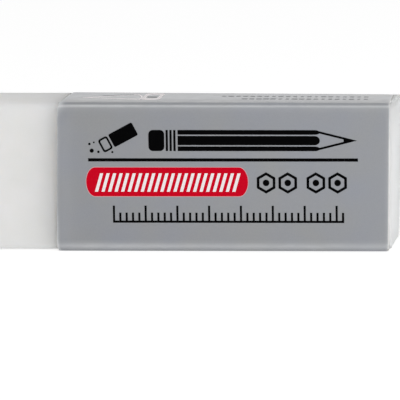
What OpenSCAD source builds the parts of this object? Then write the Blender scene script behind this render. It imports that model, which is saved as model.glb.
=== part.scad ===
// Rubber eraser: a white vinyl block in a sleeve of folded card, open at both ends.
// The part stands on the sleeve's long narrow side. X runs along the block, the printed
// front panel faces -Y, and Z is up. The origin is at the middle of the base.

/* [Rubber block] */
// Length of the block between its cut ends
block_l = 65; // [40:0.5:90]
// Height of the block, standing on its narrow side
block_h = 23; // [12:0.5:32]
// Thickness of the block from front to back
block_t = 13; // [6:0.5:20]
// Radius of the four long edges
long_edge_r = 0.8; // [0.6:0.05:2]
// Radius of the edges round the two cut ends
end_edge_r = 0.3; // [0.1:0.05:0.5]

/* [Card sleeve] */
// Length of the sleeve along the block
sleeve_l = 52; // [20:0.5:80]
// Thickness of the card
card_t = 0.2; // [0.15:0.05:0.4]
// Outside radius of the four folds
fold_r = 0.8; // [0.5:0.05:0.9]
// Height of the glue flap that lies inside the back panel
flap_h = 9; // [4:0.5:10]
// How much each end of the glue flap is trimmed back at its free edge
flap_trim = 1.5; // [0:0.25:4]
// Height of the back panel's free edge above the fold that it covers
seam_rise = 0.3; // [0:0.1:2]

/* [Fit] */
// Gap between the block and the card on every side
slide_gap = 0.05; // [0.05:0.05:0.3]
// How far the block stands out of the sleeve's right mouth
right_reveal = 0.3; // [0:0.1:10]

/* [Hidden] */
$fn = 48;

sleeve_h = block_h + 2 * (slide_gap + card_t);
sleeve_t = block_t + 2 * slide_gap + 3 * card_t;
sleeve_right = block_l / 2 - right_reveal;
sleeve_left = sleeve_right - sleeve_l;
front_y = -sleeve_t / 2;
back_y = sleeve_t / 2;
flap_y = back_y - card_t;
block_mid_y = front_y + card_t + slide_gap + block_t / 2;
block_mid_z = card_t + slide_gap + block_h / 2;

// Bar along X with long edges of radius r and end edges of radius e, centred on the origin.
// Four rods with rounded rims carry the long edges, and two slabs span between them.
module softened_bar(l, t, h, r, e) {
    for (y = [-1, 1], z = [-1, 1]) {
        translate([0, y * (t / 2 - r), z * (h / 2 - r)]) rimmed_rod(l, r, e);
    }
    rimmed_slab(l, t - 2 * r, h, e);
    rotate([90, 0, 0]) rimmed_slab(l, h - 2 * r, t, e);
}

// Rod along X whose two end rims are rounded.
module rimmed_rod(l, r, e) {
    rotate([0, 90, 0]) rotate_extrude() {
        translate([0, -l / 2]) square([r - e, l]);
        translate([0, e - l / 2]) square([r, l - 2 * e]);
        for (side = [-1, 1]) {
            translate([r - e, side * (l / 2 - e)]) intersection() {
                circle(e);
                translate([0, side > 0 ? 0 : -e]) square(e);
            }
        }
    }
}

// Slab of width w in Y and height h in Z, rounded where its ends meet its top and bottom.
module rimmed_slab(l, w, h, e) {
    rotate([90, 0, 0]) translate([0, 0, -w / 2]) linear_extrude(w) {
        square([l - 2 * e, h], center = true);
        square([l, h - 2 * e], center = true);
        for (x = [-1, 1], y = [-1, 1]) translate([x * (l / 2 - e), y * (h / 2 - e)]) circle(e);
    }
}

module rubber_block() {
    color([0.9, 0.89, 0.88]) translate([0, block_mid_y, block_mid_z])
        softened_bar(block_l, block_t, block_h, long_edge_r, end_edge_r);
}

// Quarter ring of card round a fold, in the section plane. The signs choose the quarter.
module fold(sign_y, sign_z) {
    intersection() {
        difference() {
            circle(fold_r);
            circle(fold_r - card_t);
        }
        translate([sign_y < 0 ? -fold_r : 0, sign_z < 0 ? -fold_r : 0]) square(fold_r);
    }
}

// Section of the folded strip, from the bottom narrow side round to the back panel's free edge.
module strip_section() {
    bottom_fold_y = flap_y - fold_r;
    front_fold_y = front_y + fold_r;
    top_fold_y = back_y - fold_r;
    top_fold_z = sleeve_h - fold_r;
    seam_z = fold_r + seam_rise;

    translate([bottom_fold_y, fold_r]) fold(1, -1);
    translate([front_fold_y, 0]) square([bottom_fold_y - front_fold_y, card_t]);
    translate([front_fold_y, fold_r]) fold(-1, -1);
    translate([front_y, fold_r]) square([card_t, top_fold_z - fold_r]);
    translate([front_fold_y, top_fold_z]) fold(-1, 1);
    translate([front_fold_y, sleeve_h - card_t]) square([top_fold_y - front_fold_y, card_t]);
    translate([top_fold_y, top_fold_z]) fold(1, 1);
    translate([back_y - card_t, seam_z]) square([card_t, top_fold_z - seam_z]);
}

// Glue flap: it turns up from the bottom narrow side, inside the back panel, and its
// ends are trimmed so that they stay hidden in the mouths.
module glue_flap() {
    translate([0, flap_y, 0]) rotate([90, 0, 0]) linear_extrude(card_t) polygon([
        [sleeve_left, fold_r],
        [sleeve_right, fold_r],
        [sleeve_right - flap_trim, flap_h],
        [sleeve_left + flap_trim, flap_h],
    ]);
}

module card_sleeve() {
    color([0.59, 0.6, 0.62]) {
        translate([sleeve_left, 0, 0]) rotate([90, 0, 90]) linear_extrude(sleeve_l) strip_section();
        glue_flap();
    }
}

rubber_block();
card_sleeve();
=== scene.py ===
"""Looks of a rubber eraser in a folded card sleeve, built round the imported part.

X runs along the block, the printed front panel faces -Y and Z is up. Sizes are in
millimetres, and each mesh is written in metres, which is also what the materials read.
"""

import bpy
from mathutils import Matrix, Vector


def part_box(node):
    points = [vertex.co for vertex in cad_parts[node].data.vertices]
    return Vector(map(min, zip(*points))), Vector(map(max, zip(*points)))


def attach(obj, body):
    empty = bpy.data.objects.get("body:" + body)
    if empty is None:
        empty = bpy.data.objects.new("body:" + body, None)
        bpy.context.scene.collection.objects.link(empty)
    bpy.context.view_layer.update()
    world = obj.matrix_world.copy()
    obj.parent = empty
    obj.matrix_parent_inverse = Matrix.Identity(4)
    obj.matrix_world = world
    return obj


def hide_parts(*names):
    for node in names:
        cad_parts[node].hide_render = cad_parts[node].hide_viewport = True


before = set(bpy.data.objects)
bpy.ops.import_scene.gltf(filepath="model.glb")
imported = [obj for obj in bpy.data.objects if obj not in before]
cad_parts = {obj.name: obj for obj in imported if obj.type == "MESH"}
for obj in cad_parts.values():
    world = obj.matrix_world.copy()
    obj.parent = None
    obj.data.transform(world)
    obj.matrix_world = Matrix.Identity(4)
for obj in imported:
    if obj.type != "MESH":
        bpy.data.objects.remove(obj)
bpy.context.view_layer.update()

import logging
import math
from dataclasses import dataclass, field
from enum import Enum
from typing import Any, Sequence

import bpy
import numpy as np
from mathutils import Matrix, Vector

log = logging.getLogger("eraser")

MM = 0.001

# Power of the height share that keeps a move of the top away from the sides
TOP_POWER = 4

# A number that no count of marks in a row reaches
NEVER = 1000

Point = tuple[float, float]
Place = tuple[float, float, float]
Box = tuple[float, float, float, float]
Shape = tuple[np.ndarray, list[tuple[int, ...]]]
Value = float | np.ndarray
Socket = bpy.types.NodeSocket


class Body(Enum):
    """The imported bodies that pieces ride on."""

    SLEEVE = "sleeve"
    BLOCK = "block"


class Slot(Enum):
    """The record's material slots."""

    VINYL = "vinyl"
    CARD = "card"


class Panel(Enum):
    """The sleeve's faces that carry print."""

    FRONT = "front"
    TOP = "top"


# Node trees


@dataclass(frozen=True)
class Noise:
    """A noise texture: waves per metre, finer layers, their strength, and a factor on X and on Z."""

    scale: float
    detail: float = 3.0
    roughness: float = 0.5
    x: float = 1.0
    z: float = 1.0


NOISE_RANGE: Point = (0.3, 0.7)


class Graph:
    """Shorthand for adding and joining nodes in one tree."""

    def __init__(self, tree: bpy.types.NodeTree) -> None:
        """Keeps the tree that the nodes go into."""
        self.tree = tree

    def feed(self, node: bpy.types.Node, inputs: dict[Any, Any]) -> None:
        """Sets some inputs of a node.

        Args:
            node: The node.
            inputs: Inputs by name or number, each with a value or the socket that feeds it.
        """
        for key, value in inputs.items():
            if isinstance(value, Socket):
                self.tree.links.new(value, node.inputs[key])
            else:
                node.inputs[key].default_value = value

    def add(self, kind: str, inputs: dict[Any, Any] | None = None, **settings: Any) -> bpy.types.Node:
        """Adds a node.

        Args:
            kind: The node's Blender type name.
            inputs: Inputs by name or number, each with a value or the socket that feeds it.
            **settings: Properties of the node itself.

        Returns:
            The new node.
        """
        node = self.tree.nodes.new(kind)
        for name, value in settings.items():
            setattr(node, name, value)
        self.feed(node, inputs or {})
        return node

    def calc(self, operation: str, *values: Any, clamp: bool = False) -> Socket:
        """Adds a Math node on numbers or sockets and returns its result's socket."""
        node = self.add("ShaderNodeMath", dict(enumerate(values)), operation=operation, use_clamp=clamp)
        return node.outputs[0]

    def split(self, vector: Socket) -> Any:
        """Returns the X, Y and Z sockets of a vector."""
        return self.add("ShaderNodeSeparateXYZ", {0: vector}).outputs

    def place(self) -> Socket:
        """Returns the point on the object, from one shared node."""
        node = self.tree.nodes.get("Texture Coordinate") or self.add("ShaderNodeTexCoord")
        return node.outputs["Object"]

    def painted(self, name: str) -> Socket:
        """Returns the number that is stored on the mesh under a name."""
        return self.add("ShaderNodeAttribute", attribute_name=name).outputs["Fac"]

    def noise(self, kind: Noise) -> Socket:
        """Adds a noise texture that is read at the point on the object.

        Args:
            kind: The noise.

        Returns:
            The noise's grey value, about 0.5 on average.
        """
        place = self.place()
        if (kind.x, kind.z) != (1.0, 1.0):
            stretched = {"Vector": place, "Scale": (kind.x, 1.0, kind.z)}
            place = self.add("ShaderNodeMapping", stretched).outputs[0]
        inputs = {"Vector": place, "Scale": kind.scale, "Detail": kind.detail, "Roughness": kind.roughness}
        return self.add("ShaderNodeTexNoise", inputs).outputs["Fac"]

    def span(self, value: Socket, source: Point, target: Point = (0.0, 1.0)) -> Socket:
        """Maps a value from its source range to a target range, and holds it there."""
        return self.add("ShaderNodeMapRange", dict(enumerate((value, *source, *target)))).outputs["Result"]

    def tint(self, factor: Socket, low: Any, high: Any) -> Socket:
        """Mixes two colours, given as values or sockets, by the second one's share."""
        low, high = (c if isinstance(c, Socket) else (*c, 1.0) for c in (low, high))
        return self.add("ShaderNodeMix", {0: factor, 6: low, 7: high}, data_type="RGBA").outputs[2]

    def bump(self, height: Socket, strength: float, depth: float) -> Socket:
        """Returns the normal of a surface that is raised by up to a depth in millimetres."""
        inputs = {"Strength": strength, "Distance": depth * MM, "Height": height}
        return self.add("ShaderNodeBump", inputs).outputs[0]


class Finish:
    """A surface finish that is made as one node material."""

    name: str

    def material(self) -> bpy.types.Material:
        """Builds the material.

        Returns:
            A node material whose surface is one Principled shader.
        """
        made = bpy.data.materials.new(self.name)
        made.use_nodes = True
        graph = Graph(made.node_tree)
        graph.feed(made.node_tree.nodes["Principled BSDF"], self.surface(graph))
        return made

    def surface(self, graph: Graph) -> dict[str, Any]:
        """Returns the shader's inputs, which each finish works out in its own way."""
        raise NotImplementedError


@dataclass(frozen=True)
class CoatedCard(Finish):
    """The printed grey outside of the card, under a thin satin coating."""

    name: str = "coated_card"
    grey: Place = (0.29, 0.2995, 0.3195)
    cool: Place = (0.97, 0.985, 1.03)
    warm: Place = (1.02, 1.01, 0.97)
    # Pale colour of scuffed coating, also used for the painted highlight along the front bottom fold
    pale_wear_and_highlight: Place = (0.66, 0.67, 0.68)
    # Colour of the painted shade along the folds and behind the front fold
    crease_shade_colour: Place = (0.17, 0.176, 0.187)
    mottle: Noise = Noise(130.0, 2.0)
    grain: Noise = Noise(5200.0, 4.0, 0.6)
    grain_range: Point = (0.25, 0.75)
    grain_shade: Point = (0.965, 1.035)
    # Painted light: the grey is darker towards the left and paler towards the right
    light_ramp_run_m: Point = (-0.02, 0.032)
    light_ramp_factor: Point = (0.957, 1.055)
    patches: Noise = Noise(900.0, 4.0, x=0.35)
    patch_range: Point = (0.35, 0.6)
    patch_share: Point = (0.76, 1.0)
    sheen: Noise = Noise(420.0)
    roughness: Point = (0.34, 0.44)
    fibre: Noise = Noise(2400.0, 5.0, 0.55, x=0.4)
    fibre_bump: Point = (0.25, 0.01)

    def surface(self, graph: Graph) -> dict[str, Any]:
        """Makes grey ink with a soft mottle, paler where the coating is scuffed and where a highlight is
        painted along the front bottom fold, and darker where shade is painted along the folds.

        Args:
            graph: The material's tree.

        Returns:
            The shader's inputs.
        """
        cool, warm = (tuple(c * f for c, f in zip(self.grey, cast)) for cast in (self.cool, self.warm))
        ink = graph.tint(graph.span(graph.noise(self.mottle), NOISE_RANGE), cool, warm)
        speckle = graph.span(graph.noise(self.grain), self.grain_range, self.grain_shade)
        # Painted light: darker towards the left, paler towards the right
        light_ramp = graph.span(graph.split(graph.place())["X"], self.light_ramp_run_m, self.light_ramp_factor)
        shade = graph.calc("MULTIPLY", speckle, light_ramp)
        shaded = graph.add("ShaderNodeVectorMath", {0: ink, "Scale": shade}, operation="SCALE").outputs[0]
        patchy = graph.span(graph.noise(self.patches), self.patch_range, self.patch_share)
        # Scuffed coating and the painted highlight along the front bottom fold, broken into patches
        wear_and_painted_light = graph.calc("MULTIPLY", graph.painted("wear_and_highlight"), patchy, clamp=True)
        # Painted shade along the folds and on the top panel behind the front fold
        folded = graph.tint(graph.painted("crease_shade"), shaded, self.crease_shade_colour)
        return {
            "Base Color": graph.tint(wear_and_painted_light, folded, self.pale_wear_and_highlight),
            "Roughness": graph.span(graph.noise(self.sheen), NOISE_RANGE, self.roughness),
            "Normal": graph.bump(graph.noise(self.fibre), *self.fibre_bump),
            "IOR": 1.5,
            "Coat Weight": 0.5,
            "Coat Roughness": 0.25,
        }


@dataclass(frozen=True)
class BareCard(Finish):
    """The uncoated inside of the card."""

    name: str = "bare_card"
    pale: Place = (0.63, 0.62, 0.59)
    dark: Place = (0.5, 0.49, 0.46)
    fibre: Noise = Noise(3200.0, 5.0, 0.6, x=0.3)
    fibre_range: Point = (0.35, 0.75)
    fibre_bump: Point = (0.5, 0.02)
    specks: Noise = Noise(900.0, 2.0)
    roughness: Point = (0.8, 0.95)

    def surface(self, graph: Graph) -> dict[str, Any]:
        """Makes pale pulp with short fibres and no shine.

        Args:
            graph: The material's tree.

        Returns:
            The shader's inputs.
        """
        fibre = graph.noise(self.fibre)
        shown = graph.calc("MULTIPLY", graph.span(fibre, self.fibre_range), graph.noise(self.specks))
        return {
            "Base Color": graph.tint(shown, self.pale, self.dark),
            "Roughness": graph.span(fibre, NOISE_RANGE, self.roughness),
            "Normal": graph.bump(fibre, *self.fibre_bump),
        }


@dataclass(frozen=True)
class CutCard(Finish):
    """The cut edge of the card, where the layers of pulp show."""

    name: str = "cut_card"
    pale: Place = (0.66, 0.65, 0.63)
    dark: Place = (0.42, 0.42, 0.41)
    smudges: Noise = Noise(1500.0, 4.0, 0.6)
    smudge_range: Point = (0.42, 0.72)
    fuzz: Noise = Noise(7000.0)
    fuzz_bump: Point = (0.6, 0.02)
    roughness: Point = (0.75, 0.95)

    def surface(self, graph: Graph) -> dict[str, Any]:
        """Makes pale pulp, smudged here and there by the blade.

        Args:
            graph: The material's tree.

        Returns:
            The shader's inputs.
        """
        smudges = graph.noise(self.smudges)
        return {
            "Base Color": graph.tint(graph.span(smudges, self.smudge_range), self.pale, self.dark),
            "Roughness": graph.span(smudges, NOISE_RANGE, self.roughness),
            "Normal": graph.bump(graph.noise(self.fuzz), *self.fuzz_bump),
        }


@dataclass(frozen=True)
class SoftVinyl(Finish):
    """White filled vinyl that lets light a little way in."""

    name: str = "soft_vinyl"
    white: Place = (0.86, 0.85, 0.84)
    cream: Place = (0.828, 0.824, 0.803)
    # Colour of the painted shade beside the left mouth and on the right end's top rim
    painted_shade: Place = (0.26, 0.282, 0.272)
    cloud: Noise = Noise(170.0)
    cloud_range: Point = (0.35, 0.68)
    ragged: Noise = Noise(1800.0, 3.0, 0.6)
    ragged_range: Point = (0.38, 0.58)
    ragged_share: Point = (0.55, 1.0)
    bloom: Noise = Noise(1400.0, 4.0, 0.6)
    roughness: Point = (0.5, 0.64)
    drawn: Noise = Noise(2600.0, x=0.06)
    blade: Noise = Noise(2200.0, z=0.03)
    line_strength: float = 0.5
    pores: Noise = Noise(3600.0, 5.0, 0.65)
    surface_bump: Point = (0.35, 0.03)
    scatter: Place = (1.0, 0.95, 0.9)
    scatter_depth: float = 15.0

    def surface(self, graph: Graph) -> dict[str, Any]:
        """Makes matt white with a faint drawn grain along the bar and blade marks on its ends, and painted
        shade beside the left mouth and on the right end's top rim.

        Args:
            graph: The material's tree.

        Returns:
            The shader's inputs.
        """
        clean = graph.tint(graph.span(graph.noise(self.cloud), self.cloud_range), self.white, self.cream)
        ragged = graph.span(graph.noise(self.ragged), self.ragged_range, self.ragged_share)
        # Painted shade, broken up by noise, darkens the white where the mesh stores it
        shade_share = graph.calc("MULTIPLY", graph.painted("painted_shade"), ragged, clamp=True)
        marks = {0: graph.painted("cut_end"), 2: graph.noise(self.drawn), 3: graph.noise(self.blade)}
        lines = graph.calc("MULTIPLY", graph.add("ShaderNodeMix", marks).outputs[0], self.line_strength)
        relief = graph.calc("ADD", lines, graph.noise(self.pores))
        return {
            "Base Color": graph.tint(shade_share, clean, self.painted_shade),
            "Roughness": graph.span(graph.noise(self.bloom), NOISE_RANGE, self.roughness),
            "Normal": graph.bump(relief, *self.surface_bump),
            "IOR": 1.5,
            "Subsurface Weight": 1.0,
            "Subsurface Radius": self.scatter,
            "Subsurface Scale": self.scatter_depth * MM,
            "Specular IOR Level": 0.15,
        }


@dataclass(frozen=True)
class PrintInk(Finish):
    """A flat colour of printing ink, and the share of the grey card that shows through it in places."""

    name: str
    colour: Place
    thin: float = 0.04
    card_grey: float = 0.3
    cover: Noise = Noise(2600.0, 4.0, 0.6)
    cover_range: Point = (0.5, 0.8)
    cover_bump: Point = (0.2, 0.01)
    sheen: Noise = Noise(420.0)
    roughness: Point = (0.36, 0.46)

    def surface(self, graph: Graph) -> dict[str, Any]:
        """Makes solid ink that is a shade thinner here and there.

        Args:
            graph: The material's tree.

        Returns:
            The shader's inputs.
        """
        cover = graph.noise(self.cover)
        thinner = tuple(c + (self.card_grey - c) * self.thin for c in self.colour)
        return {
            "Base Color": graph.tint(graph.span(cover, self.cover_range), self.colour, thinner),
            "Roughness": graph.span(graph.noise(self.sheen), NOISE_RANGE, self.roughness),
            "Normal": graph.bump(cover, *self.cover_bump),
            "IOR": 1.5,
            "Specular IOR Level": 0.02,
        }


BLACK_INK = PrintInk("black_ink", (0.001, 0.001, 0.0012), 0.004)
RED_INK = PrintInk("red_ink", (0.62, 0.0015, 0.016), 0.015)
WHITE_INK = PrintInk("white_ink", (0.95, 0.9, 0.905), 0.02)
PINK_INK = PrintInk("pink_ink", (0.66, 0.4, 0.43))
FAINT_INK = PrintInk("faint_ink", (0.225, 0.23, 0.24))


class GeometryRecipe:
    """A Geometry Nodes tree with named inputs, and the step that turns its result into a mesh."""

    def __init__(self, name: str, inputs: dict[str, str]) -> None:
        """Opens the tree.

        Args:
            name: Name of the tree.
            inputs: Each input's name and its socket type.
        """
        self.tree = bpy.data.node_groups.new(name, "GeometryNodeTree")
        face = self.tree.interface
        for label, kind in {"Geometry": "Geometry", **inputs}.items():
            face.new_socket(label, in_out="INPUT", socket_type=f"NodeSocket{kind}")
        face.new_socket("Geometry", in_out="OUTPUT", socket_type="NodeSocketGeometry")
        self.graph = Graph(self.tree)
        self.given = self.graph.add("NodeGroupInput").outputs

    def close(self, geometry: Socket, coats: dict[str, Any]) -> None:
        """Ends the tree with Realize Instances and Set Material.

        Args:
            geometry: The shape.
            coats: Each material input's name, with the selection that it covers or True for all.
        """
        shape = self.graph.add("GeometryNodeRealizeInstances", {"Geometry": geometry}).outputs[0]
        for label, chosen in coats.items():
            inputs = {"Geometry": shape, "Selection": chosen, "Material": self.given[label]}
            shape = self.graph.add("GeometryNodeSetMaterial", inputs).outputs[0]
        self.graph.add("NodeGroupOutput", {"Geometry": shape})

    def run(self, base: bpy.types.Mesh, values: dict[str, Any]) -> bpy.types.Mesh:
        """Runs the tree on a mesh.

        Args:
            base: The mesh that goes in.
            values: A value for each named input.

        Returns:
            The result as a plain mesh.
        """
        carrier = bpy.data.objects.new(self.tree.name, base)
        bpy.context.scene.collection.objects.link(carrier)
        modifier = carrier.modifiers.new(self.tree.name, "NODES")
        modifier.node_group = self.tree
        for item in self.tree.interface.items_tree:
            if item.in_out == "INPUT" and item.name in values:
                modifier[item.identifier] = values[item.name]
        depsgraph = bpy.context.evaluated_depsgraph_get()
        made = bpy.data.meshes.new_from_object(
            carrier.evaluated_get(depsgraph), preserve_all_data_layers=True, depsgraph=depsgraph
        )
        bpy.data.objects.remove(carrier)
        return made


# Mesh helpers


def places(mesh: bpy.types.Mesh) -> np.ndarray:
    """Reads the mesh's vertices.

    Args:
        mesh: The mesh.

    Returns:
        Its vertices in millimetres, as rows.
    """
    rows = np.zeros(len(mesh.vertices) * 3, np.float32)
    mesh.vertices.foreach_get("co", rows)
    return rows.reshape(-1, 3).astype(float) / MM


def put(mesh: bpy.types.Mesh, rows: np.ndarray) -> None:
    """Writes the vertices, given in millimetres as rows."""
    mesh.vertices.foreach_set("co", (rows * MM).astype(np.float32).ravel())
    mesh.update()


def mesh_of(name: str, points: np.ndarray, faces: Sequence[Sequence[int]]) -> bpy.types.Mesh:
    """Makes a mesh.

    Args:
        name: Name of the mesh.
        points: Vertices in millimetres, as rows.
        faces: Vertex numbers of each face, anticlockwise from outside.

    Returns:
        The mesh, in metres.
    """
    made = bpy.data.meshes.new(name)
    made.from_pydata((np.asarray(points, float) * MM).tolist(), [], [list(face) for face in faces])
    made.update()
    return made


def paint(mesh: bpy.types.Mesh, name: str, values: np.ndarray) -> None:
    """Stores one number on each vertex, under the given name."""
    layer = mesh.attributes.new(name, "FLOAT", "POINT")
    layer.data.foreach_set("value", np.asarray(values, np.float32))


def bell(distance: Value, width: float) -> Value:
    """Returns a smooth hump that is 1 at no distance and fades over the width."""
    return np.exp(-((distance / width) ** 2))


def ease(value: Value, start: float, end: Value) -> Value:
    """Rises smoothly from 0 to 1 as the value goes from start to end."""
    t = np.clip((value - start) / (end - start), 0, 1)
    return t * t * (3 - 2 * t)


def piece(name: str, mesh: bpy.types.Mesh, body: Body, crease_deg: float = 40.0) -> bpy.types.Object:
    """Puts a finished mesh in the scene, on its body.

    Args:
        name: Name of the piece.
        mesh: Its mesh, in place.
        body: The body that it rides on.
        crease_deg: Edges sharper than this stay sharp.

    Returns:
        The object.
    """
    mesh.shade_smooth()
    mesh.set_sharp_from_angle(angle=math.radians(crease_deg))
    made = bpy.data.objects.new(name, mesh)
    bpy.context.scene.collection.objects.link(made)
    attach(made, body.value)
    log.info("%s: %d faces on %s", name, len(mesh.polygons), body.value)
    return made


@dataclass(frozen=True)
class Spacing:
    """A rule for stations that crowd near a centre: their spacing there, and from the reach on."""

    fine: float
    coarse: float
    reach: float
    growth: float = 1.3

    def stations(self, start: float, end: float, centres: Sequence[float]) -> np.ndarray:
        """Places stations that crowd near some centres.

        Args:
            start: First station.
            end: Last station.
            centres: Where the stations lie closest.

        Returns:
            The stations, both ends included.
        """
        row, rounding = [start], 1e-9
        while row[-1] < end - rounding:
            near = min(abs(row[-1] - centre) for centre in centres) / self.reach
            row.append(row[-1] + self.fine + (self.coarse - self.fine) * min(1.0, near) ** self.growth)
        spaced = np.array(row)
        return start + (spaced - start) * (end - start) / (spaced[-1] - start)


@dataclass(frozen=True)
class Hump:
    """A smooth hump: its height, where its middle lies, and its width."""

    height: float
    at: float
    width: float

    def over(self, distance: Value) -> Value:
        """Returns the hump's height at a distance."""
        return self.height * bell(distance - self.at, self.width)


# Card sleeve


@dataclass(frozen=True)
class Fold:
    """One fold of the strip: where it lies, how it was pressed, where it is paler from scuffing and, at the
    front bottom fold, from a painted highlight, and how its ends are clipped.
    """

    at: float
    groove: float
    rub_and_highlight: Hump
    crushed: float
    clip: Hump = Hump(0.14, 0.0, 0.55)
    groove_width: float = 0.11
    shoulder: float = 0.6
    shoulder_at: float = 0.4
    shoulder_width: float = 0.2
    fuzz: float = 0.05
    fuzz_spread: float = 1.6
    crush_width: float = 0.6
    crush_reach: float = 0.8

    def relief(self, s: Value, mouth: Value) -> Value:
        """Works out how far the fold pushes the face outwards.

        Args:
            s: Place along the strip.
            mouth: Distance from the nearer mouth.

        Returns:
            The offset.
        """
        d = s - self.at
        shoulders = sum(bell(d - side * self.shoulder_at, self.shoulder_width) for side in (1, -1))
        pressed = self.groove * (self.shoulder * shoulders - bell(d, self.groove_width))
        fuzzy = self.fuzz * self.rub_and_highlight.height * bell(d - self.rub_and_highlight.at, self.fuzz_spread * self.rub_and_highlight.width)
        return pressed + fuzzy - self.crushed * bell(d, self.crush_width) * bell(mouth, self.crush_reach)


@dataclass
class CardSleeve:
    """The sleeve: one strip of card, folded at four creases and glued to itself."""

    left: float
    right: float
    front: float
    back: float
    height: float
    card: float = 0.2
    fold_radius: float = 0.8
    fold_steps: int = 14
    flap_top: float = 9.0
    flap_trim: float = 1.5
    seam_height: float = 1.1
    glue: float = 0.012
    weld: float = 0.0001
    left_rise: float = 0.115
    right_rise: float = -0.29
    fold_rise: float = 0.11
    fold_drop: float = 0.18
    fold_roll: float = 0.12
    roll_start: float = -1.4
    roll_run: float = 4.5
    left_flare: float = 0.5
    flare_run: float = 1.6
    flare_ramp: float = 3.0
    back_sag: float = 0.05
    sag_ramp: float = 0.9
    sag_run: float = 4.0
    panel_bow: float = 0.03
    cut_lean: float = 0.42
    lean_pivot: float = 0.65
    left_skew: float = 0.3
    left_reach: float = 1.3
    right_skew: float = 0.28
    right_reach: float = 1.6
    right_clip: float = 0.25
    back_turn: Point = (0.96, 0.98)
    top_turn: Point = (0.96, 0.99)
    setback: float = 0.42
    setback_run: Point = (-0.8, 2.2)
    across: Spacing = Spacing(0.07, 1.3, 3.0)
    along: Spacing = Spacing(0.07, 0.85, 2.4)
    # Pale marks: scuffing at the edges, mouths, seam and corner, and a painted highlight along the front
    # bottom fold
    low_run: Point = (2.5, 7.0)
    low_rest: Hump = Hump(0.4, 0.6, 1.6)
    low_rub: Hump = Hump(0.33, 0.12, 0.2)
    left_rub: Point = (0.95, 0.3)
    left_rub_run: Point = (-6.0, 20.0)
    brow_rub: Hump = Hump(0.1, -0.95, 0.5)
    edge_rub: Hump = Hump(0.5, 0.0, 0.1)
    mouth_rub: Hump = Hump(0.16, 0.0, 0.4)
    seam_rub: Hump = Hump(0.3, 0.0, 0.12)
    corner_rub: float = 0.6
    corner_fold: Hump = Hump(1.0, 0.0, 0.6)
    corner_mouth: Hump = Hump(1.0, 0.3, 0.5)
    # Painted shade: dark lines along the folds and a dark band on the top panel behind the front fold
    fold_shade_line: Hump = Hump(0.14, 0.0, 0.14)
    brow_shade: float = 0.67
    brow_rise: Point = (0.1, 0.9)
    brow_reach: Point = (3.6, 2.4)
    brow_run: Point = (-15.0, 5.0)
    folds: tuple[Fold, ...] = field(init=False)

    def __post_init__(self) -> None:
        """Works out where each fold lies along the strip."""
        r, quarter = self.fold_radius, math.pi / 2 * self.fold_radius
        self.half_turn = quarter / 2
        self.flap_y = self.back - self.card - self.glue
        self.flap_run = self.flap_top - r
        self.front_run = self.height - 2 * r
        self.top_run = self.back - self.front - 2 * r
        bottom_run = self.flap_y - self.front - 2 * r
        turns, s = [], 0.0
        for run in (self.flap_run, bottom_run, self.front_run, self.top_run):
            s += run + quarter
            turns.append(s - self.half_turn)
        self.length = s + (self.height - r - self.seam_height)
        self.folds = (
            Fold(turns[0], groove=0.03, crushed=0.05, rub_and_highlight=Hump(0.35, 0.0, 0.3)),
            # The pale band by the front bottom fold is a painted highlight
            Fold(turns[1], groove=0.02, crushed=0.01, rub_and_highlight=Hump(0.46, 0.7, 0.45), clip=Hump(0.4, -0.35, 0.55)),
            Fold(turns[2], groove=0.012, crushed=0.03, rub_and_highlight=Hump(0.57, -0.42, 0.24)),
            Fold(turns[3], groove=0.04, crushed=0.06, rub_and_highlight=Hump(0.45, 0.1, 0.25)),
        )

    @classmethod
    def from_frame(cls) -> "CardSleeve":
        """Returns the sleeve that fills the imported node's box."""
        low, high = (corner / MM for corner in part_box("card_sleeve"))
        return cls(left=low.x, right=high.x, front=low.y, back=high.y, height=high.z)

    def front_s(self, z: Value) -> Value:
        """Returns the place along the strip of a height on the front panel."""
        return self.folds[1].at + self.half_turn + (z - self.fold_radius)

    def top_s(self, deep: Value) -> Value:
        """Returns the place along the strip of a distance behind the front, on the top panel."""
        return self.folds[2].at + self.half_turn + (deep - self.fold_radius)

    def share(self, x: Value) -> Value:
        """Returns how far along the sleeve a place is, from its left mouth (0) to its right one (1)."""
        return np.clip((x - self.left) / (self.right - self.left), 0, 1)

    def lift(self, x: Value) -> Value:
        """Returns how far the back of the top panel stands above its plain height."""
        return self.left_rise + (self.right_rise - self.left_rise) * self.share(x)

    def set_back(self, beyond: Value) -> Value:
        """Returns how far the left cut is set back, by the distance past the top front fold."""
        return self.setback * ease(beyond, *self.setback_run)

    def top_cuts(self, deep: Value) -> tuple[Value, Value]:
        """Works out where the top panel's two cuts lie.

        Args:
            deep: Share of the way from the panel's front fold (0) to its back (1).

        Returns:
            The place of the left cut and of the right cut.
        """
        lean = self.cut_lean * (1 - self.lean_pivot)
        left = self.left + lean + self.left_skew * deep + self.set_back(deep * self.top_run)
        return left, self.right + lean - self.right_skew * deep

    def left_cut(self, high: Value, deep: Value) -> Value:
        """Works out where the left cut lies, all round the mouth.

        Args:
            high: Share of the height, from the bottom (0) to the top (1).
            deep: Share of the depth, from the front (0) to the back (1).

        Returns:
            The place of the cut.
        """
        up = high + (1 - high) * ease(deep, *self.back_turn)
        on_top = self.set_back(deep * self.top_run) * ease(high, *self.top_turn)
        return self.left + self.cut_lean * (up - self.lean_pivot) + self.left_skew * deep * up + on_top

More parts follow.
